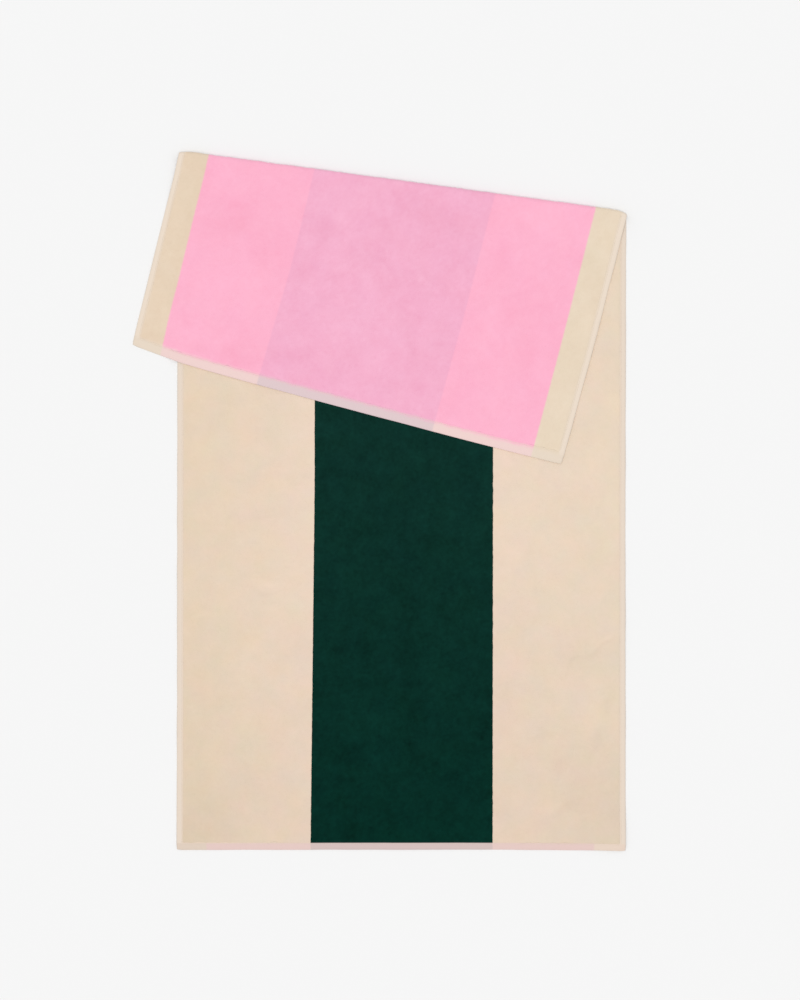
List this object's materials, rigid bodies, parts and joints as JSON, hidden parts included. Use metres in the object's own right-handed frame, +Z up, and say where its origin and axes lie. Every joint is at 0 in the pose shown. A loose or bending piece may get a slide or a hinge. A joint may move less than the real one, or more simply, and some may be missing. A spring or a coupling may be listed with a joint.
{
  "type": "folded bath towel",
  "caption": "Flat cotton terry bath towel with its far end folded over on a slant, plain broad stripes, hemmed on all sides.",
  "frame": {"origin": "middle of the footprint, on the surface that the towel lies on", "axes": "+Z up, +Y along the lower panel from the near hem to the fold, +X across to the right"},
  "size_m": [0.7686, 1.089, 0.0094],
  "materials": {
    "terry": "matte looped cotton pile with flat woven hems"
  },
  "bodies": {
    "root": {"towel_cloth": "terry"}
  },
  "joints": []
}
